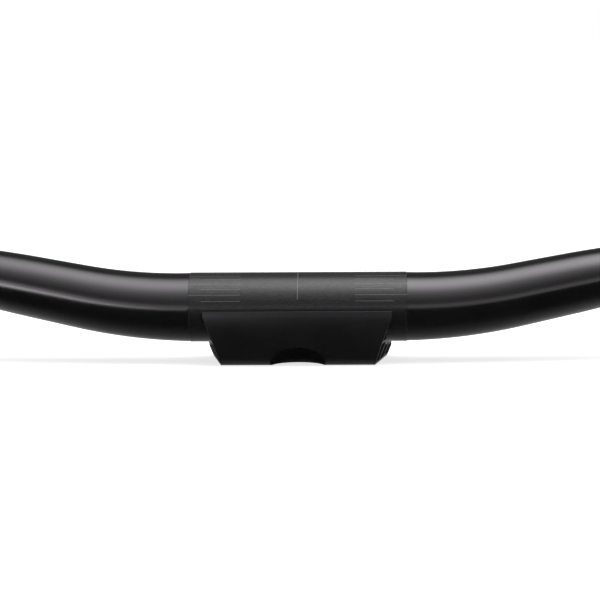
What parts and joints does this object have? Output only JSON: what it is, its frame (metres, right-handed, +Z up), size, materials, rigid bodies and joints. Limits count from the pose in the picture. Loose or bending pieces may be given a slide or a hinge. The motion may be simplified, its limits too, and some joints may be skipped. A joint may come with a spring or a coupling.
{
  "type": "mountain bike riser handlebar",
  "caption": "Black riser handlebar, a bent and tapered hollow tube with a graduated clamp zone, resting in a moulded block with a half-round seat.",
  "frame": {"origin": "middle of the clamp zone, on the bar's axis", "axes": "+X along the clamp zone, to the right as seen from the front; +Y to the rear, the way the grips sweep; +Z up"},
  "size_m": [0.7998, 0.0721, 0.0768],
  "materials": {
    "bar": "satin",
    "cradle": "satin"
  },
  "bodies": {
    "root": {"handlebar": "bar", "cradle": "cradle"}
  },
  "joints": []
}
